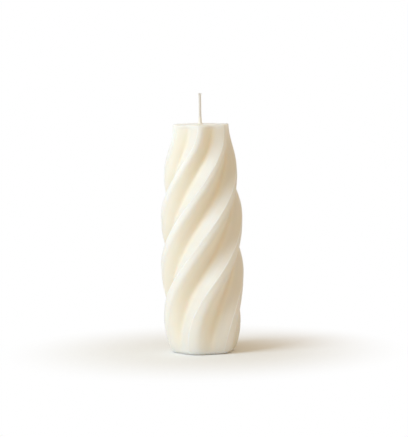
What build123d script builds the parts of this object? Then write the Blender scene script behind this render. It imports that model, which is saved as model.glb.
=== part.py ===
from build123d import *
from math import cos, degrees, radians, sin
import os

os.makedirs("parts", exist_ok=True)

# ------------------------------------------------------------ driving sizes (mm, degrees)
# The candle stands on its base at height 0, with its wick on the Z axis.

# barrel of the wax body, measured to the crests of its ribs
wax_height = 150.0          # base to the flat top
base_radius = 20.7
belly_radius = 26.9         # at the widest
top_radius = 19.8
swell_height = 84.0         # the barrel swells from the base up to here
swell_power = 6.0           # the higher, the sooner that swelling is done
shoulder_height = 40.0      # the barrel draws in from here up
shoulder_power = 2.55       # the higher, the later that drawing in happens

# ribs, which climb to the right
rib_count = 6
rib_direction = -93.6       # where one crest points at the top, from +X
rib_crowding = 4.5          # the ribs stand a little unevenly: at most this far from even
crowded_side = 12.0         # they crowd towards here, from that crest
total_turn = 196.5          # from the base to the top
turn_build_height = 45.0    # height over which the turn builds up from the base
turn_fade_height = 18.5     # height over which it dies away below the top

# one rib and the flute beside it, as they are at the belly
crest_width_top = 1.2       # narrow band along the crest, which widens towards the base
crest_width_base = 5.0
flute_depth = 6.0           # crest to valley
flute_depth_top = 3.6
flute_depth_base = 1.6
flute_build_height = 38.0   # height over which the flutes deepen from the base
flute_fade_height = 25.0    # height over which they grow shallow below the top
valley_share = 0.54         # where the valley lies in the gap from one crest to the next
shoulder_reach = 5.6        # rounding of the side where the crest falls away softly
valley_reach = 2.4          # rounding of the valley on that side
crease_reach = 2.2          # and on the other, where it turns into a flank
flank_reach = 5.0           # flat flank that meets the next crest in a crisp edge
flank_slope = 41.0          # of the flank at that edge

rim_rounding = 1.0          # edge of the flat top
foot_rounding = 2.0         # edge of the base

# braided wick
wick_diameter = 1.85
wick_core_diameter = 0.8
wick_free_length = 20.5     # above the flat top
wick_coat = 0.18            # wax that clings to the wick, as thick as this
wick_coat_height = 5.5
wick_collar_radius = 2.5    # wax drawn up around the wick where it leaves the top
wick_collar_height = 2.2

# tin disc with a neck that grips the wick
sustainer_diameter = 20.0
sustainer_thickness = 0.3
sustainer_inset = 0.3       # the disc sits this far above the base
neck_height = 6.0           # above the disc
neck_flare = 0.8            # radius of the bend from the disc into the neck
sustainer_clearance = 0.15  # wax to the disc's edge and to the neck

section_count = 17          # outlines that the wax body is drawn through

# ------------------------------------------------------------ derived sizes
full_turn = 360.0
quarter_turn = full_turn / 4.0
rib_pitch = full_turn / rib_count
wick_radius = wick_diameter / 2.0
neck_radius = wick_radius + sustainer_thickness
disc_top = sustainer_inset + sustainer_thickness
wick_tip = wax_height + wick_free_length


# ------------------------------------------------------------ wax body
def crest_radius(height):
    """Barrel: a quick swelling above the base, an S-shaped drawing in below the top."""
    below = max(0.0, 1.0 - height / swell_height)
    above = max(0.0, (height - shoulder_height) / (wax_height - shoulder_height))
    late = above**shoulder_power
    drawn_in = late * late * (3.0 - 2.0 * late)
    swelling = (belly_radius - base_radius) * below**swell_power
    return belly_radius - swelling - (belly_radius - top_radius) * drawn_in


def turned(height):
    """Share of the whole turn that the ribs have made from the base up to a height."""
    building_up = min(height, turn_build_height)
    dying_away = max(0.0, height - (wax_height - turn_fade_height))
    lost_low = building_up - building_up**2 / (2.0 * turn_build_height)
    lost_high = dying_away**2 / (2.0 * turn_fade_height)
    return (height - lost_low - lost_high) / (wax_height - (turn_build_height + turn_fade_height) / 2.0)


def depth(height):
    """Crest to valley: shallow at the base and at the top, full in between."""
    below = max(0.0, 1.0 - height / flute_build_height)
    above = max(0.0, 1.0 - (wax_height - height) / flute_fade_height)
    lost_low = (flute_depth - flute_depth_base) * below**2
    lost_high = (flute_depth - flute_depth_top) * above**2
    return flute_depth - lost_low - lost_high


def rib_angle(rib):
    """Direction of a rib's crest from the first one's: even steps, a little crowded to one side."""
    even = rib * rib_pitch
    return even - rib_crowding * sin(radians(even - crowded_side))


def at(radius, angle, start=(0.0, 0.0)):
    """Point that lies a distance from a start, in a direction in degrees."""
    return (
        start[0] + radius * cos(radians(angle)),
        start[1] + radius * sin(radians(angle)),
    )


def draw_rib(height, rib):
    """Crest band of one rib, then the flute up to where the next rib's band starts."""
    crest = crest_radius(height)
    crest_width = crest_width_base + (crest_width_top - crest_width_base) * height / wax_height
    half_band = degrees(crest_width / 2.0 / belly_radius)
    middle = rib_angle(rib)
    gap = rib_angle(rib + 1) - middle
    valley_angle = middle + valley_share * gap
    crisp_angle = rib_angle(rib + 1) - half_band
    # the flute's curves grow with the barrel and with the gap between the two ribs
    scale = crest / belly_radius
    reach = scale * gap / rib_pitch
    slope = flank_slope * depth(height) / flute_depth
    soft_edge = at(crest, middle + half_band)
    valley = at(crest - depth(height) * scale, valley_angle)
    crisp_edge = at(crest, crisp_angle)
    ThreePointArc(at(crest, middle - half_band), at(crest, middle), soft_edge)
    Bezier(
        soft_edge,
        at(shoulder_reach * reach, middle + half_band + quarter_turn, soft_edge),
        at(valley_reach * reach, valley_angle - quarter_turn, valley),
        valley,
    )
    Bezier(
        valley,
        at(crease_reach * reach, valley_angle + quarter_turn, valley),
        at(flank_reach * reach, crisp_angle - quarter_turn - slope, crisp_edge),
        crisp_edge,
    )


with BuildPart() as wax_body:
    for station in range(section_count):
        height = wax_height * station / (section_count - 1)
        direction = rib_direction + total_turn * (turned(height) - 1.0)
        with BuildSketch(Plane.XY.offset(height).rotated((0, 0, direction))):
            with BuildLine():
                for rib in range(rib_count):
                    draw_rib(height, rib)
            make_face()
    loft()
    fillet(wax_body.faces().sort_by(Axis.Z)[-1].edges(), rim_rounding)
    fillet(wax_body.faces().sort_by(Axis.Z)[0].edges(), foot_rounding)
    # wax drawn up the wick: a hollow-sided collar, then a thin coat that thins out
    with BuildSketch(Plane.XZ):
        with BuildLine():
            coat_radius = wick_radius + wick_coat
            collar_top = wax_height + wick_collar_height
            coat_top = wax_height + wick_coat_height
            Line((0, wax_height), (wick_collar_radius, wax_height))
            Bezier(
                (wick_collar_radius, wax_height),
                (coat_radius, wax_height),
                (coat_radius, collar_top),
            )
            Line((coat_radius, collar_top), (coat_radius, coat_top - wick_coat))
            Line((coat_radius, coat_top - wick_coat), (wick_radius, coat_top))
            Polyline((wick_radius, coat_top), (0, coat_top), (0, wax_height))
        make_face()
    revolve(axis=Axis.Z)
    # room for the wick, and underneath for the disc and its neck
    with BuildSketch(Plane.XY):
        Circle(wick_radius)
    extrude(amount=wick_tip, mode=Mode.SUBTRACT)
    with BuildSketch(Plane.XY):
        Circle(sustainer_diameter / 2.0 + sustainer_clearance)
    extrude(amount=disc_top, mode=Mode.SUBTRACT)
    with BuildSketch(Plane.XZ):
        with BuildLine():
            pocket_radius = neck_radius + sustainer_clearance
            pocket_top = disc_top + neck_height
            flare_radius = neck_flare - sustainer_clearance
            Line((0, disc_top), (pocket_radius + flare_radius, disc_top))
            RadiusArc(
                (pocket_radius + flare_radius, disc_top),
                (pocket_radius, disc_top + flare_radius),
                flare_radius,
            )
            Line((pocket_radius, disc_top + flare_radius), (pocket_radius, pocket_top))
            Polyline((pocket_radius, pocket_top), (0, pocket_top), (0, disc_top))
        make_face()
    revolve(axis=Axis.Z, mode=Mode.SUBTRACT)

# ------------------------------------------------------------ wick: braid around a core
with BuildPart() as wick_sheath:
    with BuildSketch(Plane.XY.offset(sustainer_inset)):
        Circle(wick_radius)
        Circle(wick_core_diameter / 2.0, mode=Mode.SUBTRACT)
    extrude(amount=wick_tip - sustainer_inset)

with BuildPart() as wick_core:
    with BuildSketch(Plane.XY.offset(sustainer_inset)):
        Circle(wick_core_diameter / 2.0)
    extrude(amount=wick_tip - sustainer_inset)

# ------------------------------------------------------------ sustainer: disc drawn up into a neck
with BuildPart() as wick_sustainer:
    with BuildSketch(Plane.XZ):
        with BuildLine():
            edge_radius = sustainer_diameter / 2.0
            bend_radius = neck_radius + neck_flare
            neck_top = disc_top + neck_height
            inner_bend = neck_flare + sustainer_thickness
            Polyline(
                (bend_radius, sustainer_inset),
                (edge_radius, sustainer_inset),
                (edge_radius, disc_top),
                (bend_radius, disc_top),
            )
            RadiusArc((bend_radius, disc_top), (neck_radius, disc_top + neck_flare), neck_flare)
            Polyline(
                (neck_radius, disc_top + neck_flare),
                (neck_radius, neck_top),
                (wick_radius, neck_top),
                (wick_radius, sustainer_inset + inner_bend),
            )
            RadiusArc(
                (wick_radius, sustainer_inset + inner_bend),
                (bend_radius, sustainer_inset),
                -inner_bend,
            )
        make_face()
    revolve(axis=Axis.Z)

# ------------------------------------------------------------ files
wax_body.part.label = "wax_body"
wick_sheath.part.label = "wick_sheath"
wick_core.part.label = "wick_core"
wick_sustainer.part.label = "wick_sustainer"
export_step(wax_body.part, "parts/wax_body.step")
export_step(wick_sheath.part, "parts/wick_sheath.step")
export_step(wick_core.part, "parts/wick_core.step")
export_step(wick_sustainer.part, "parts/wick_sustainer.step")
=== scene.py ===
import random
from math import atan2, cos, degrees, hypot, pi, radians, sin

import bpy
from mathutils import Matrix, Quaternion, Vector, noise


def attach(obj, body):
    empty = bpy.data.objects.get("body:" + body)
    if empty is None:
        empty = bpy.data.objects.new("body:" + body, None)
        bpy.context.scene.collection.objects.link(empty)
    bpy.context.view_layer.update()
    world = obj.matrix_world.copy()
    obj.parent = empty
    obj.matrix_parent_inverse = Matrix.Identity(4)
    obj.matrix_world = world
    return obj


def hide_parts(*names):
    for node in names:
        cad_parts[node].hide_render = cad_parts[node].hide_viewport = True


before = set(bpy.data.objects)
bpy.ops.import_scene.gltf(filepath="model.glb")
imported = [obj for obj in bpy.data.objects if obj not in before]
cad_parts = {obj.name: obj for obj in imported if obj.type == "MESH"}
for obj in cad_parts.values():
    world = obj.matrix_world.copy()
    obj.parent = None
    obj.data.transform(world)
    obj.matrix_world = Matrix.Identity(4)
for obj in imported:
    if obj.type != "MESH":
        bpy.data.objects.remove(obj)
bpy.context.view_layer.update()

# ------------------------------------------------------------------------- wax body
# The candle itself: ivory paraffin wax, poured in one piece into a flexible mould and
# pulled out with a turn. Six ribs climb to the right on a barrel. Each has a narrow crest
# with a crisp edge on its left, and a side that rolls over softly into the flute.

mm = 0.001
full_turn = 360.0
quarter_turn = full_turn / 4.0

wax_height = 150.0
base_radius = 20.7
belly_radius = 26.9
top_radius = 19.8
swell_height = 84.0
swell_power = 6.0
shoulder_height = 40.0
shoulder_power = 2.55

rib_count = 6
rib_direction = -93.6
rib_crowding = 4.5
crowded_side = 12.0
total_turn = 196.5
turn_build_height = 45.0
turn_fade_height = 18.5
rib_pitch = full_turn / rib_count

crest_width_top = 1.2
crest_width_base = 5.0
flute_depth = 6.0
flute_depth_top = 3.6
flute_depth_base = 1.6
flute_build_height = 38.0
flute_fade_height = 25.0
valley_share = 0.54
shoulder_reach = 5.6
valley_reach = 2.4
crease_reach = 2.2
flank_reach = 5.0
flank_slope = 41.0

rim_rounding = 1.0
foot_rounding = 2.0


def crest_radius(height):
    """Barrel: a quick swelling above the base, an S-shaped drawing in below the top."""
    below = max(0.0, 1.0 - height / swell_height)
    above = max(0.0, (height - shoulder_height) / (wax_height - shoulder_height))
    late = above**shoulder_power
    drawn_in = late * late * (3.0 - 2.0 * late)
    swelling = (belly_radius - base_radius) * below**swell_power
    return belly_radius - swelling - (belly_radius - top_radius) * drawn_in


def turned(height):
    """Share of the whole turn that the ribs have made from the base up to a height."""
    building_up = min(height, turn_build_height)
    dying_away = max(0.0, height - (wax_height - turn_fade_height))
    lost_low = building_up - building_up**2 / (2.0 * turn_build_height)
    lost_high = dying_away**2 / (2.0 * turn_fade_height)
    return (height - lost_low - lost_high) / (wax_height - (turn_build_height + turn_fade_height) / 2.0)


def depth(height):
    """Crest to valley: shallow at the base and at the top, full in between."""
    below = max(0.0, 1.0 - height / flute_build_height)
    above = max(0.0, 1.0 - (wax_height - height) / flute_fade_height)
    lost_low = (flute_depth - flute_depth_base) * below**2
    lost_high = (flute_depth - flute_depth_top) * above**2
    return flute_depth - lost_low - lost_high


def rib_angle(rib):
    """Direction of a rib's crest from the first one's: even steps, a little crowded to one side."""
    even = rib * rib_pitch
    return even - rib_crowding * sin(radians(even - crowded_side))


def at(radius, angle, start=(0.0, 0.0)):
    """Point that lies a distance from a start, in a direction in degrees."""
    return (start[0] + radius * cos(radians(angle)), start[1] + radius * sin(radians(angle)))


def bezier(points, share):
    """Point at a share of the way along the curve that has these control points."""
    while len(points) > 1:
        points = [
            tuple(p + (q - p) * share for p, q in zip(a, b)) for a, b in zip(points, points[1:])
        ]
    return points[0]


def smooth(value, low, high):
    """0 below low, 1 above high, and an S between."""
    share = max(0.0, min(1.0, (value - low) / (high - low)))
    return share * share * (3.0 - 2.0 * share)


# painted light and shade on the wax, as a tone from 0 to 1: a painted highlight, palest on the lip,
# then on the crest, and painted warm shade that grows to 1 in the crease; the top face and rim have a
# painted highlight
lip_highlight = 0.0
edge_highlight = 0.05          # to both sides of the lip
crest_highlight = 0.2
plain_wax = 0.35         # where there are no flutes
top_highlight = 0.12
shoulder_shade = 0.70      # the shoulder has come to this
shoulder_turn = 0.45     # at this share of the way down,
hollow_start = 0.4       # and between these two shares it goes on to 1
hollow_end = 0.9
flank_wax = 0.42         # the flank has come back to this
flank_turn = 0.60        # at this share of the way up
# the painted highlight of the top comes down the wall this far
rim_highlight_depth = 3.5           # height below the top over which all of it turns pale

band_steps = 6
shoulder_steps = 24
flank_steps = 22
flank_bunching = 1.25    # over 1, the flank's points stand closer together near the crisp edge
flank_length = 11.0      # along its section, about
edge_softness = 0.28     # the crisp edge is rounded over this much to each side, as cast wax is,
lip_height = 0.22        # and stands up a little in a fine lip


def painted_light_and_shade(wanted, height):
    """What a height leaves of the painted light and shade: even where there are no flutes, and the
    painted highlight at the rim.
    """
    fluted = plain_wax + (wanted - plain_wax) * depth(height) / flute_depth
    return fluted + (top_highlight - fluted) * smooth(height, wax_height - rim_highlight_depth, wax_height)


def rib_points(height, rib):
    """Points along one rib's crest band and its flute, before the turn, each with its painted light and
    shade.
    """
    crest = crest_radius(height)
    crest_width = crest_width_base + (crest_width_top - crest_width_base) * height / wax_height
    half_band = degrees(crest_width / 2.0 / belly_radius)
    middle = rib_angle(rib)
    valley_angle = middle + valley_share * (rib_angle(rib + 1) - middle)
    crisp_angle = rib_angle(rib + 1) - half_band
    scale = crest / belly_radius
    reach = scale * (rib_angle(rib + 1) - middle) / rib_pitch
    slope = flank_slope * depth(height) / flute_depth
    soft_edge = at(crest, middle + half_band)
    valley = at(crest - depth(height) * scale, valley_angle)
    crisp_edge = at(crest, crisp_angle)
    falling = [
        soft_edge,
        at(shoulder_reach * reach, middle + half_band + quarter_turn, soft_edge),
        at(valley_reach * reach, valley_angle - quarter_turn, valley),
        valley,
    ]
    rising = [
        valley,
        at(crease_reach * reach, valley_angle + quarter_turn, valley),
        at(flank_reach * reach, crisp_angle - quarter_turn - slope, crisp_edge),
        crisp_edge,
    ]
    points = []
    soft = degrees(edge_softness / crest)
    for step in range(band_steps):
        share = step / band_steps
        spot = at(crest, middle - half_band + soft + (2.0 * half_band - soft) * share)
        points.append((*spot, painted_light_and_shade(crest_highlight if step else edge_highlight, height)))
    for step in range(shoulder_steps):
        share = step / shoulder_steps
        wanted = crest_highlight + (shoulder_shade - crest_highlight) * smooth(share, 0.0, shoulder_turn)
        wanted += (1.0 - shoulder_shade) * smooth(share, hollow_start, hollow_end)
        points.append((*bezier(falling, share), painted_light_and_shade(wanted, height)))
    flank_end = 1.0 - edge_softness / flank_length
    for step in range(flank_steps + 1):
        share = flank_end * (1.0 - (1.0 - step / flank_steps) ** flank_bunching)
        wanted = 1.0 - (1.0 - flank_wax) * smooth(share, 0.0, flank_turn)
        if step == flank_steps:
            wanted = edge_highlight
        points.append((*bezier(rising, share), painted_light_and_shade(wanted, height)))
    lip = lip_height * depth(height) / flute_depth
    points.append((*at(crest + lip, crisp_angle), painted_light_and_shade(lip_highlight, height)))
    return points


def outline(height):
    """All six ribs at a height: each point's place, its place before the turn, and its painted light
    and shade.
    """
    facing = rib_direction + total_turn * (turned(height) - 1.0)
    ring = []
    for rib in range(rib_count):
        for x, y, cream in rib_points(height, rib):
            turned_x = x * cos(radians(facing)) - y * sin(radians(facing))
            turned_y = x * sin(radians(facing)) + y * cos(radians(facing))
            ring.append((turned_x, turned_y, x, y, cream))
    return ring


# the top face takes the painted highlight of the top
rim_share = 0.1          # of the way in from the rim, and from there on the top has one tone


def ring_of(height, inset=0.0, share=0.0, circle=0.0):
    """One ring of the casting: the outline at a height, drawn in, and blended into a circle."""
    ring = []
    for x, y, flat_x, flat_y, cream in outline(max(0.0, min(wax_height, height))):
        radius = hypot(x, y)
        drawn = ((radius - inset) * (1.0 - share) + circle * share) / radius
        # towards the middle of the top, the painted light and shade gives way to the top's painted
        # highlight
        cream += (top_highlight - cream) * smooth(share, 0.0, rim_share)
        ring.append((x * drawn, y * drawn, height, flat_x * drawn, flat_y * drawn, cream))
    return ring


# the outer wall, from the rounded foot to the rounded rim
rounding_steps = 6
wall_rings = 190
wax_rings = []
for step in range(rounding_steps + 1):
    angle = radians(quarter_turn * step / rounding_steps)
    wax_rings.append(ring_of(foot_rounding * (1.0 - cos(angle)), foot_rounding * (1.0 - sin(angle))))
wall_low, wall_high = foot_rounding, wax_height - rim_rounding
for step in range(1, wall_rings):
    wax_rings.append(ring_of(wall_low + (wall_high - wall_low) * step / wall_rings))
for step in range(rounding_steps + 1):
    angle = radians(quarter_turn * step / rounding_steps)
    wax_rings.append(ring_of(wall_high + rim_rounding * sin(angle), rim_rounding * (1.0 - cos(angle))))

# the flat top, in to the wax that was drawn up around the wick
wick_diameter = 1.85
wick_coat = 0.18
wick_coat_height = 5.5
wick_collar_radius = 2.5
wick_collar_height = 2.2
wick_radius = wick_diameter / 2.0
coat_radius = wick_radius + wick_coat
top_rings = 16
for step in range(1, top_rings + 1):
    wax_rings.append(ring_of(wax_height, rim_rounding, step / top_rings, wick_collar_radius))
film_start = len(wax_rings) - 1

# the collar and the thin film of wax that clings to the wick
collar_steps = 8
film_steps = 10
film_dip = 1.3           # the film ends up to this much lower on some sides
film_full = 0.35         # it keeps its thickness over this share of its height
for step in range(1, collar_steps + 1):
    radius, rise = bezier(
        [(wick_collar_radius, 0.0), (coat_radius, 0.0), (coat_radius, wick_collar_height)],
        step / collar_steps,
    )
    wax_rings.append(ring_of(wax_height + rise, 0.0, 1.0, radius))
for step in range(1, film_steps + 1):
    share = step / film_steps
    rise = wick_collar_height + (wick_coat_height - wick_collar_height) * share
    thick = wick_coat * (1.0 - smooth(share, film_full, 1.0))
    ring = []
    for x, y, z, flat_x, flat_y, cream in ring_of(wax_height + rise, 0.0, 1.0, wick_radius + thick):
        side = atan2(y, x)
        lower = 0.5 + 0.3 * sin(2.0 * side) + 0.2 * sin(5.0 * side + 1.0)
        ring.append((x, y, z - film_dip * share**2 * lower, flat_x, flat_y, cream))
    wax_rings.append(ring)
film_end = len(wax_rings) - 1

# the wick's channel, then the pocket and the recess that hold the sustainer
disc_radius = 10.0
disc_low = 0.3
plate = 0.3              # thickness of the sustainer's tin
neck_height = 6.0
neck_bend = 0.8
clearance = 0.15         # wax to the tin
disc_top = disc_low + plate
disc_recess_radius = disc_radius + clearance
pocket_top = disc_top + neck_height
pocket_radius = wick_radius + plate + clearance
pocket_flare = neck_bend - clearance
channel_rings = 24
for step in range(channel_rings + 1):
    height = wax_height + (pocket_top - wax_height) * step / channel_rings
    wax_rings.append(ring_of(height, 0.0, 1.0, wick_radius))
wax_rings.append(ring_of(pocket_top, 0.0, 1.0, pocket_radius))
for step in range(rounding_steps + 1):
    angle = radians(quarter_turn * step / rounding_steps)
    height = disc_top + pocket_flare * (1.0 - sin(angle))
    wax_rings.append(ring_of(height, 0.0, 1.0, pocket_radius + pocket_flare * (1.0 - cos(angle))))
wax_rings.append(ring_of(disc_top, 0.0, 1.0, disc_recess_radius))
wax_rings.append(ring_of(0.0, 0.0, 1.0, disc_recess_radius))
foot_rings = 8
for step in range(1, foot_rings):
    wax_rings.append(ring_of(0.0, foot_rounding, 1.0 - step / foot_rings, disc_recess_radius))


def closed_mesh(name, rings):
    """A mesh from rings of as many points each, joined around and from the last to the first."""
    around = len(rings[0])
    verts = [tuple(value * mm for value in point[:3]) for ring in rings for point in ring]
    faces = []
    for first in range(0, len(verts), around):
        for step in range(around):
            a, b = first + step, first + (step + 1) % around
            faces.append((a, b, (b + around) % len(verts), (a + around) % len(verts)))
    mesh = bpy.data.meshes.new(name)
    mesh.from_pydata(verts, [], faces)
    mesh.polygons.foreach_set("use_smooth", [True] * len(mesh.polygons))
    return mesh


# the casting isn't perfect: its faces wander by a tenth of a millimetre
wander = 0.09
wander_size = 14.0
wander_stretch = 0.6     # it changes more slowly up the candle than around it
calm_middle = 6.0        # nearer to the wick than this, it dies away
for ring in wax_rings[:film_start]:
    for step, (x, y, z, flat_x, flat_y, cream) in enumerate(ring):
        spot = Vector((x, y, z * wander_stretch)) / wander_size
        swell = 1.0 + wander * noise.noise(spot) / max(calm_middle, hypot(x, y))
        ring[step] = (x * swell, y * swell, z, flat_x, flat_y, cream)

wax_mesh = closed_mesh("wax_casting", wax_rings)
# each point's painted light and shade goes to the wax shader as an attribute
painted_tones, flat_places = [], []
for ring in wax_rings:
    for x, y, z, flat_x, flat_y, cream in ring:
        painted_tones.append(cream)
        flat_places += [flat_x * mm, flat_y * mm, z * mm]
wax_mesh.attributes.new("cream", "FLOAT", "POINT").data.foreach_set("value", painted_tones)
untwisted = wax_mesh.attributes.new("untwisted", "FLOAT_VECTOR", "POINT")
untwisted.data.foreach_set("vector", flat_places)
points_around = len(wax_rings[0])
for face in wax_mesh.polygons:
    if film_start <= face.index // points_around < film_end:
        face.material_index = 1
wax = bpy.data.objects.new("wax_casting", wax_mesh)
bpy.context.scene.collection.objects.link(wax)


class Value:
    """A socket with Python's operators, which add the Math nodes."""

    def __init__(self, nodes, socket):
        self.nodes, self.socket = nodes, socket

    def _math(self, operation, *terms):
        return self.nodes.add("ShaderNodeMath", {"operation": operation}, dict(enumerate(terms)))

    def __add__(self, other):
        return self._math("ADD", self, other)

    __radd__ = __add__

    def __mul__(self, other):
        return self._math("MULTIPLY", self, other)

    __rmul__ = __mul__

    def __sub__(self, other):
        return self._math("SUBTRACT", self, other)

    def __rsub__(self, other):
        return self._math("SUBTRACT", other, self)


class Nodes:
    """A node tree: add() makes any node and returns its output as a Value."""

    def __init__(self, tree):
        self.tree = tree

    def add(self, kind, settings=(), inputs=(), output=0):
        node = self.tree.nodes.new(kind)
        for name, value in dict(settings).items():
            if name == "stops":
                ramp = node.color_ramp.elements
                while len(ramp) < len(value):
                    ramp.new(1.0)
                for element, (position, colour) in zip(ramp, value):
                    element.position, element.color = position, colour
            else:
                setattr(node, name, value)
        for name, value in dict(inputs).items():
            self.join(node.inputs[name], value)
        return Value(self, node.outputs[output])

    def join(self, socket, value):
        if isinstance(value, Value):
            self.tree.links.new(value.socket, socket)
        else:
            socket.default_value = value

    def mix(self, share, first, second):
        """A colour between two, kept between them."""
        return self.add(
            "ShaderNodeMix",
            {"data_type": "RGBA", "clamp_factor": True},
            {0: share, 6: first, 7: second},
            output=2,
        )

    def noise(self, place, scale, detail=3.0):
        return self.add("ShaderNodeTexNoise", {}, {"Vector": place, "Scale": scale, "Detail": detail})

    def bump(self, height, strength, distance):
        return self.add(
            "ShaderNodeBump", {}, {"Strength": strength, "Distance": distance, "Height": height}
        )


class Finish(Nodes):
    """A new material's nodes, whose surface is set by its sockets' names."""

    def __init__(self, name):
        self.material = bpy.data.materials.new(name)
        self.material.use_nodes = True
        super().__init__(self.material.node_tree)
        self.shader = self.tree.nodes["Principled BSDF"]

    def set(self, **inputs):
        for name, value in inputs.items():
            self.join(self.shader.inputs[name.replace("_", " ")], value)


# colours of the painted light and shade on the ribs: painted highlights on the lip and crest, the wax's
# own ivory on the flank, painted warm shade on the shoulder and in the crease; the crest's colour also
# tints the streaks
painted_lip_highlight = (0.97, 0.96, 0.94, 1.0)
crest_highlight_and_streak = (0.885, 0.865, 0.82, 1.0)
ivory = (0.85, 0.815, 0.75, 1.0)
painted_shoulder_shade = (0.915, 0.86, 0.76, 1.0)
painted_crease_shade = (0.89, 0.82, 0.695, 1.0)

# clouds through the wax, faint streaks along the ribs as it left the mould, and a fine grain
ivory_wax = Finish("ivory_wax")
painted_tone_here = ivory_wax.add("ShaderNodeAttribute", {"attribute_name": "cream"}, output=2)
wax_place = ivory_wax.add("ShaderNodeTexCoord", output=3)
before_turn = ivory_wax.add("ShaderNodeAttribute", {"attribute_name": "untwisted"}, output=1)
along_rib = ivory_wax.add(
    "ShaderNodeVectorMath", {"operation": "MULTIPLY"}, {0: before_turn, 1: (1.0, 1.0, 0.035)}
)
cloud = ivory_wax.noise(wax_place, 55.0)
streak = ivory_wax.noise(along_rib, 620.0)
wax_grain = ivory_wax.noise(wax_place, 1400.0, 4.0)
# the ribs' painted highlights and painted warm shade, from each point's painted tone, shifted a little
# by the clouds
painted_rib_light_and_shade = ivory_wax.add(
    "ShaderNodeValToRGB",
    {
        "stops": [
            (lip_highlight, painted_lip_highlight),
            (crest_highlight, crest_highlight_and_streak),
            (flank_wax, ivory),
            (shoulder_shade, painted_shoulder_shade),
            (1.0, painted_crease_shade),
        ]
    },
    {0: painted_tone_here + (cloud - 0.5) * 0.12},
)
ivory_wax.set(
    Base_Color=ivory_wax.mix((streak - 0.50) * 1.6, painted_rib_light_and_shade, crest_highlight_and_streak),
    Roughness=0.40 + (cloud - 0.5) * 0.12,
    IOR=1.44,
    Specular_IOR_Level=0.3,
    Subsurface_Weight=0.75,
    Subsurface_Radius=(1.0, 0.85, 0.70),
    Subsurface_Scale=0.014,
    Normal=ivory_wax.bump(wax_grain * 0.25 + cloud + streak * 0.5, 0.12, 0.0002),
)
wax.data.materials.append(ivory_wax.material)

# the film on the wick is too thin for light to wander in it
wax_film = Finish("wax_film")
wax_film.set(Base_Color=(0.92, 0.88, 0.81, 1.0), Roughness=0.35, IOR=1.44)
wax.data.materials.append(wax_film.material)
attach(wax, "root")
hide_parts("wax_body")

# ------------------------------------------------------------------------- wick: the braid
# Eight cotton strands braided around the core yarn, four winding up to the right and four to
# the left, each over and then under the ones that it meets. It runs from the sustainer to
# above the top, where it was cut and its fibres have sprung apart.

wick_foot = disc_low
wick_tip = wax_height + 20.5
braid_end = wick_tip - 1.1        # above it the strands are loose fibres
braid_pitch = 5.0                 # height of one turn of a strand
braid_middle = 0.64               # the strands swing to both sides of this radius
braid_swing = 0.135
strands_each_way = 4
strand_breadth = 0.30             # half of a strand's width, and of its thickness
strand_thickness = 0.14
strand_sides = 8
steps_in_wax = 16                 # for each turn of a strand, where the wax hides it
steps_above = 56

loose_fibres = 13                 # at the end of each strand
fibre_radius = 0.035
fibre_thinning = 0.6              # of its radius, to its end
loose_root = 0.5                  # they start this far inside the braid
loose_droop = 0.55                # the widest of them bend down again this far
tuft_spread = 0.45                # how far they spring out,
tuft_flatness = 0.75              # and how much further to the left and right than to the front
loose_steps = 6

stray_fibres = 34                 # that stand off the braid
stray_radius = 0.014
stray_start = 0.80                # from the wick's middle
stray_reach = 0.45                # for each millimetre of their length
stray_wind = 40.0                 # and how far around the wick
stray_steps = 5
tube_spacing = 0.1                # of a tube's rings, in the measure of the cotton's own texture
chance = random.Random(5)


class Yarn:
    """Tubes that share one mesh, each point with its place around and along its strand."""

    def __init__(self):
        self.verts, self.faces, self.fibre, self.count = [], [], [], 0

    def tube(self, rings):
        """Joins rings of points into a tube, and closes its ends."""
        around, first = len(rings[0]), len(self.verts)
        self.count += 1
        for index, ring in enumerate(rings):
            for side, point in enumerate(ring):
                self.verts.append(tuple(value * mm for value in point))
                here = (side / around + self.count * 3.7, self.count * 5.3, index * tube_spacing)
                self.fibre.append(here)
        for index in range(len(rings) - 1):
            for side in range(around):
                a = first + index * around + side
                b = first + index * around + (side + 1) % around
                self.faces.append((a, b, b + around, a + around))
        last = len(self.verts) - around
        self.faces.append(tuple(range(first, first + around))[::-1])
        self.faces.append(tuple(range(last, last + around)))

    def thread(self, points, radius, sides=5):
        """A round thread along points, which thins out to its end."""
        rings = []
        for index, point in enumerate(points):
            ahead = points[min(index + 1, len(points) - 1)] - points[max(index - 1, 0)]
            across = ahead.orthogonal().normalized()
            beside = ahead.cross(across).normalized()
            size = radius * (1.0 - fibre_thinning * index / (len(points) - 1))
            ring = []
            for side in range(sides):
                angle = radians(full_turn * side / sides)
                ring.append(point + (across * cos(angle) + beside * sin(angle)) * size)
            rings.append(ring)
        self.tube(rings)

    def piece(self, name):
        mesh = bpy.data.meshes.new(name)
        mesh.from_pydata(self.verts, [], self.faces)
        mesh.polygons.foreach_set("use_smooth", [True] * len(mesh.polygons))
        places = mesh.attributes.new("fibre", "FLOAT_VECTOR", "POINT")
        places.data.foreach_set("vector", [value for here in self.fibre for value in here])
        piece = bpy.data.objects.new(name, mesh)
        bpy.context.scene.collection.objects.link(piece)
        return piece


def around_wick(radius, angle, height):
    return Vector((*at(radius, angle), height))


def strand_place(winding, start, height):
    """Angle and radius of a strand's middle at a height; winding is 1 to the right, -1 to the left."""
    turns = height / braid_pitch
    swing = winding * braid_swing * cos(radians(strands_each_way * full_turn * turns))
    return start + winding * full_turn * turns, braid_middle + swing


def strand_ring(winding, start, height):
    """Flat oval section of a strand, square to the way that it winds and bent around the core."""
    angle, radius = strand_place(winding, start, height)
    lean = atan2(2.0 * pi * braid_middle, braid_pitch)
    ring = []
    for side in range(strand_sides):
        turn = radians(full_turn * side / strand_sides)
        across = strand_breadth * cos(turn)
        aside = angle + degrees(across * cos(lean) / radius)
        rise = max(wick_foot, height - winding * across * sin(lean))
        ring.append(around_wick(radius + strand_thickness * sin(turn), aside, rise))
    # turned round, it runs counter-clockwise from above, so the tube's faces look outwards
    return ring[::-1]


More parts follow.
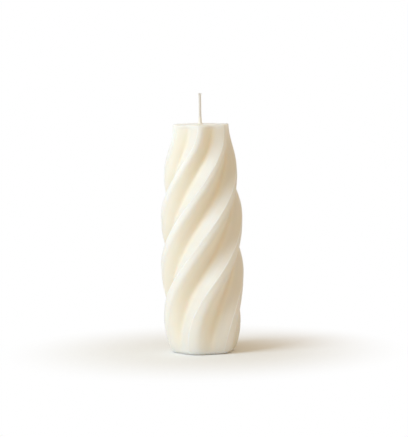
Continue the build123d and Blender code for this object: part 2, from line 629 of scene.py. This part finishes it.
braid = Yarn()
low_steps = int(steps_in_wax * (wax_height - wick_foot) / braid_pitch)
high_steps = int(steps_above * (braid_end - wax_height) / braid_pitch)
heights = [wick_foot + (wax_height - wick_foot) * step / low_steps for step in range(low_steps)]
heights += [wax_height + (braid_end - wax_height) * step / high_steps for step in range(high_steps + 1)]
for winding in (1, -1):
    for strand in range(strands_each_way):
        start = full_turn * strand / strands_each_way + chance.uniform(-2.0, 2.0)
        braid.tube([strand_ring(winding, start, height) for height in heights])
        # the strand's end comes apart into fibres, which spring outwards
        for fibre in range(loose_fibres):
            spread = chance.uniform(-0.85, 0.85)
            flare = chance.uniform(0.10, 1.0) ** 1.4
            reach = chance.uniform(0.75, 1.0)
            kink = chance.uniform(-25.0, 25.0)
            deep = chance.uniform(-0.6, 0.6) * strand_thickness
            points = []
            for step in range(loose_steps + 1):
                share = step / loose_steps
                rise = braid_end - loose_root + (wick_tip - braid_end + loose_root) * share * reach
                rise -= loose_droop * flare * share**3
                angle, radius = strand_place(winding, start, min(rise, braid_end))
                aside = angle + degrees(spread * strand_breadth / radius) + kink * share**2
                out = flare * (tuft_spread + tuft_flatness * abs(cos(radians(aside)))) * share**2
                points.append(around_wick(radius + deep + out, aside, rise))
            braid.thread(points, fibre_radius)
for fibre in range(stray_fibres):
    height = chance.uniform(wax_height + 6.0, braid_end)
    angle = chance.uniform(0.0, full_turn)
    length = chance.uniform(0.4, 1.3)
    way = chance.choice((-1, 1))
    points = []
    for step in range(stray_steps + 1):
        share = step / stray_steps
        away = stray_start + stray_reach * length * share**1.6
        aside = angle + way * stray_wind * length * share
        points.append(around_wick(away, aside, height + length * share * (1.0 - 0.4 * share)))
    braid.thread(points, stray_radius, 4)

wick_braid = braid.piece("wick_braid")


def fibres_along(nodes, fineness):
    """Noise that runs along a strand as its fibres do."""
    here = nodes.add("ShaderNodeAttribute", {"attribute_name": "fibre"}, output=1)
    drawn_out = nodes.add("ShaderNodeVectorMath", {"operation": "MULTIPLY"}, {0: here, 1: fineness})
    return nodes.noise(drawn_out, 1.0)


between_fibres = (0.88, 0.84, 0.79, 1.0)
bleached_cotton = (0.95, 0.93, 0.91, 1.0)
cotton_fuzz = (0.95, 0.93, 0.90, 1.0)

cotton = Finish("braided_cotton")
strand_fibres = fibres_along(cotton, (22.0, 1.0, 0.6))
fuzz = cotton.noise(cotton.add("ShaderNodeTexCoord", output=3), 900.0, 2.0)
strand_colour = cotton.mix((strand_fibres - 0.35) * 1.6, between_fibres, bleached_cotton)
cotton.set(
    Base_Color=cotton.mix((fuzz - 0.5) * 0.5, strand_colour, cotton_fuzz),
    Roughness=0.75 + (fuzz - 0.5) * 0.2,
    Normal=cotton.bump(strand_fibres, 0.5, 0.00006),
    Sheen_Weight=0.25,
)
wick_braid.data.materials.append(cotton.material)
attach(wick_braid, "root")
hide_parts("wick_sheath")

# ------------------------------------------------------------------------- wick: the core
# A yarn of three plies twisted together, inside the braid. It keeps the wick upright, and is
# cut with it, so its end shows in the middle of the tip.

ply_count = 3
ply_radius = 0.165
ply_middle = 0.17                 # from the wick's middle
ply_pitch = 3.0
ply_sides = 7
ply_fibres = 10                   # loose at the end of each ply
ply_fibre_steps = 4
steps_per_turn = 10
core_above = 0.3                  # the core goes on this far above the braid's end
core_top = braid_end + core_above
core_steps = int(steps_per_turn * (braid_end - wick_foot) / ply_pitch)

core = Yarn()
for ply in range(ply_count):
    ply_rings = []
    for step in range(core_steps + 1):
        height = wick_foot + (core_top - wick_foot) * step / core_steps
        angle = full_turn * (ply / ply_count + height / ply_pitch)
        middle = around_wick(ply_middle, angle, height)
        ring = []
        for side in range(ply_sides):
            turn = radians(full_turn * side / ply_sides)
            ring.append(middle + Vector((cos(turn), sin(turn), 0.0)) * ply_radius)
        ply_rings.append(ring)
    core.tube(ply_rings)
    for fibre in range(ply_fibres):
        lean_way = chance.uniform(0.0, full_turn)
        lean_far = chance.uniform(0.02, 0.30)
        base = middle + Vector((*at(chance.uniform(0.0, 0.11), lean_way), -core_above))
        rise = chance.uniform(0.75, 1.0) * (wick_tip - base.z)
        points = []
        for step in range(ply_fibre_steps + 1):
            share = step / ply_fibre_steps
            points.append(base + Vector((*at(lean_far * share**2, lean_way), rise * share)))
        core.thread(points, fibre_radius)

wick_core_yarn = core.piece("wick_core_yarn")
yarn_shade = (0.78, 0.74, 0.68, 1.0)
yarn_light = (0.90, 0.88, 0.85, 1.0)

yarn = Finish("wick_core_yarn")
ply_twist = fibres_along(yarn, (16.0, 1.0, 0.5))
yarn.set(
    Base_Color=yarn.mix((ply_twist - 0.3) * 1.5, yarn_shade, yarn_light),
    Roughness=0.8 + (ply_twist - 0.5) * 0.15,
    Normal=yarn.bump(ply_twist, 0.5, 0.00006),
    Sheen_Weight=0.2,
)
wick_core_yarn.data.materials.append(yarn.material)
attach(wick_core_yarn, "root")
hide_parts("wick_core")

# ------------------------------------------------------------------------- wick sustainer
# A disc stamped from thin tin plate and drawn up in the middle into a neck, which is pinched
# around the wick in three places. A shallow ring pressed into the disc stiffens it.

neck_inside = wick_radius
edge_curl = 0.1                   # rounding of the disc's cut edge
bead_radius = 7.0                 # middle of the pressed ring
bead_half_width = 0.75
bead_drop = 0.2
pinch_count = 3
pinch_depth = 0.07
pinch_low, pinch_high = 2.4, 5.6
pinch_slope = 0.8                 # height over which a pinch runs out at each end
plate_sides = 120
disc_steps, bend_steps, neck_steps, curl_steps = 40, 8, 14, 4
bend_middle = neck_inside + plate + neck_bend


def bead(radius):
    """How far the pressed ring takes the disc down at a radius."""
    share = min(1.0, abs(radius - bead_radius) / bead_half_width)
    return bead_drop * 0.5 * (1.0 + cos(pi * share))


def plate_face(low):
    """Half of the disc's section, from its edge to the neck, on its lower or its upper face."""
    face = disc_low if low else disc_top
    inward = -1.0 if low else 1.0
    line = []
    for step in range(curl_steps + 1):
        angle = radians(quarter_turn * step / curl_steps)
        rise = face - inward * edge_curl * (1.0 - sin(angle))
        line.append((disc_radius - edge_curl * (1.0 - cos(angle)), rise))
    flat_start = disc_radius - 2.0 * edge_curl
    for step in range(disc_steps + 1):
        radius = flat_start + (bend_middle - flat_start) * step / disc_steps
        line.append((radius, face - bead(radius)))
    bend = neck_bend + (plate if low else 0.0)
    for step in range(1, bend_steps + 1):
        angle = radians(quarter_turn * step / bend_steps)
        line.append((bend_middle - bend * sin(angle), face + bend * (1.0 - cos(angle))))
    neck = neck_inside + (0.0 if low else plate)
    neck_start = line[-1][1]
    for step in range(1, neck_steps + 1):
        line.append((neck, neck_start + (disc_top + neck_height - neck_start) * step / neck_steps))
    return line


plate_rings = []
for radius, rise in plate_face(True) + plate_face(False)[::-1]:
    pinch = pinch_depth * smooth(rise, pinch_low, pinch_low + pinch_slope)
    pinch *= 1.0 - smooth(rise, pinch_high - pinch_slope, pinch_high)
    ring = []
    for side in range(plate_sides):
        angle = full_turn * side / plate_sides
        pressed = max(0.0, cos(radians(pinch_count * angle))) ** 2
        ring.append(around_wick(radius - pinch * pressed, angle, rise))
    plate_rings.append(ring)
plate_mesh = closed_mesh("sustainer_plate", plate_rings[::-1])
sustainer = bpy.data.objects.new("sustainer_plate", plate_mesh)
bpy.context.scene.collection.objects.link(sustainer)

# the sheet's rolling lines, the spangles of its tin, and dull patches
bright_tin = (0.74, 0.74, 0.72, 1.0)
dull_tin = (0.60, 0.60, 0.58, 1.0)

tin = Finish("tin_plate")
tin_place = tin.add("ShaderNodeTexCoord", output=3)
rolled = tin.add(
    "ShaderNodeVectorMath", {"operation": "MULTIPLY"}, {0: tin_place, 1: (30.0, 900.0, 200.0)}
)
rolling_lines = tin.noise(rolled, 2.5)
spangle = tin.add("ShaderNodeTexVoronoi", {}, {"Vector": tin_place, "Scale": 420.0}, output=1)
spangle_tone = tin.add("ShaderNodeRGBToBW", {}, {0: spangle})
dullness = tin.noise(tin_place, 160.0)
tin.set(
    Base_Color=tin.mix(spangle_tone * 0.5 + (dullness - 0.5) * 0.6, bright_tin, dull_tin),
    Metallic=1.0,
    Roughness=0.26 + (rolling_lines - 0.5) * 0.25 + (dullness - 0.5) * 0.2,
    Normal=tin.bump(rolling_lines, 0.15, 0.00005),
)
sustainer.data.materials.append(tin.material)
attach(sustainer, "root")
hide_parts("wick_sustainer")

# ------------------------------------------------------------------------- floor and backdrop
# A table top covered in pale matt paper, wide enough to run out of the picture. Near the candle
# it is lit and keeps the shadow, and further away it turns into the plain white of the backdrop.

bpy.ops.mesh.primitive_plane_add(size=8.0, location=(0.0, 0.0, 0.0))
table = bpy.context.object
table.name = "table_top"
paper = Finish("table_paper")
paper.set(Base_Color=(0.94, 0.95, 0.97, 1.0), Roughness=0.9)
on_table = paper.add("ShaderNodeTexCoord", output=3)
from_candle = paper.add("ShaderNodeVectorMath", {"operation": "LENGTH"}, {0: on_table}, output=1)
far_share = paper.add(
    "ShaderNodeMapRange",
    {"interpolation_type": "SMOOTHSTEP"},
    {"Value": from_candle, "From Min": 0.02, "From Max": 0.14},
)


def seen_or_mirrored(nodes):
    """1 for the camera's own rays and for those that a shiny or clear piece sends on."""
    camera_ray = nodes.add("ShaderNodeLightPath", output="Is Camera Ray")
    glossy_ray = nodes.add("ShaderNodeLightPath", output="Is Glossy Ray")
    clear_ray = nodes.add("ShaderNodeLightPath", output="Is Transmission Ray")
    return 1.0 - (1.0 - camera_ray) * (1.0 - glossy_ray) * (1.0 - clear_ray)


white = (1.0, 1.0, 1.0, 1.0)
lit_paper = Value(paper, paper.shader.outputs[0])
blank = paper.add("ShaderNodeEmission", {}, {"Color": white})
far_and_seen = far_share * seen_or_mirrored(paper)
paper_to_white = paper.add("ShaderNodeMixShader", {}, {0: far_and_seen, 1: lit_paper, 2: blank})
paper.join(paper.tree.nodes["Material Output"].inputs["Surface"], paper_to_white)
table.data.materials.append(paper.material)

# ------------------------------------------------------------------------- light
# Soft studio light: a warm room all around, and one square softbox, cooler than the room, that
# faces the candle from the left and in front. Together they light it nearly white.

world = bpy.data.worlds.new("studio")
bpy.context.scene.world = world
world.use_nodes = True
room = Nodes(world.node_tree)
warm = room.add("ShaderNodeBackground", {}, {"Color": (1.0, 0.80, 0.53, 1.0), "Strength": 0.565})
backdrop = room.add("ShaderNodeBackground", {}, {"Color": white})
room_or_white = room.add("ShaderNodeMixShader", {}, {0: seen_or_mirrored(room), 1: warm, 2: backdrop})
room.join(room.tree.nodes["World Output"].inputs["Surface"], room_or_white)

key_azimuth = -53.0               # from the front; to the left is negative
key_rise = 35.0
key_distance = 1.1
key = bpy.data.lights.new("key", "AREA")
key.size = 0.5
key.energy = 7.8
key.color = (0.69, 0.86, 1.0)
towards_key = Vector((
    sin(radians(key_azimuth)) * cos(radians(key_rise)),
    -cos(radians(key_azimuth)) * cos(radians(key_rise)),
    sin(radians(key_rise)),
))
softbox = bpy.data.objects.new("key", key)
softbox.location = Vector((0.0, 0.0, wax_height / 2.0 * mm)) + towards_key * key_distance
softbox.rotation_mode = "QUATERNION"
softbox.rotation_quaternion = (-towards_key).to_track_quat("-Z", "Y")
bpy.context.scene.collection.objects.link(softbox)

# ------------------------------------------------------------------------- camera
# A long lens, a little above the candle's top and nearly level, as the photograph was taken. It
# is turned a little, because the photographed candle leans and this one stands upright.

camera_distance = 1.44
camera_rise = 4.9
camera_roll = 0.9
aim = Vector((0.00155, 0.0, 0.0879))
lens = bpy.data.cameras.new("camera")
lens.sensor_width = 36.0
lens.lens = 180.3
lens.clip_end = 20.0
camera = bpy.data.objects.new("camera", lens)
back = Vector((0.0, -cos(radians(camera_rise)), sin(radians(camera_rise))))
camera.location = aim + back * camera_distance
camera.rotation_mode = "QUATERNION"
level = (-back).to_track_quat("-Z", "Y")
camera.rotation_quaternion = level @ Quaternion((0.0, 0.0, 1.0), radians(-camera_roll))
bpy.context.scene.collection.objects.link(camera)
bpy.context.scene.camera = camera
bpy.context.scene.view_settings.view_transform = "Standard"
